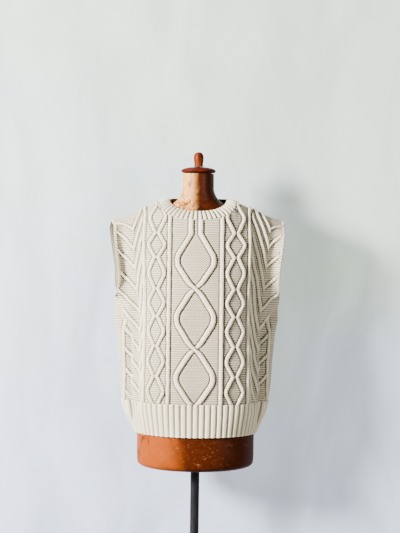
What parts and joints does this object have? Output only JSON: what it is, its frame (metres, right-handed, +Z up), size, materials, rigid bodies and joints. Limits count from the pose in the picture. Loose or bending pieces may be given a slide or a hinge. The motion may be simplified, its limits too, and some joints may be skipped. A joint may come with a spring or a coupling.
{
  "type": "knitted sweater vest on a limbless dress form",
  "caption": "Cable-knit sweater vest with ribbed neck, armholes and hem, shown on a limbless dress form on a pole with a round foot.",
  "frame": {"origin": "centre of the foot's underside, on the floor", "axes": "+Z up along the pole, the vest's front faces -Y, +X is the wearer's left"},
  "size_m": [0.4819, 0.36, 1.5115],
  "materials": {
    "wool": "undyed cream wool, matte, soft nap",
    "bust": "aged brown varnish over a papier-mache shell, scuffed and cracked, satin",
    "cap_wood": "turned reddish wood, polished",
    "knob_wood": "turned brown wood, polished",
    "iron": "blackened, satin"
  },
  "bodies": {
    "root": {"vest_front": "wool", "vest_back": "wool", "hem_rib_front": "wool", "hem_rib_back": "wool", "neckband": "wool", "armhole_band_left": "wool", "armhole_band_right": "wool", "torso": "bust", "neck_cap": "cap_wood", "neck_knob": "knob_wood", "stand_pole": "iron", "stand_foot": "iron"}
  },
  "joints": []
}
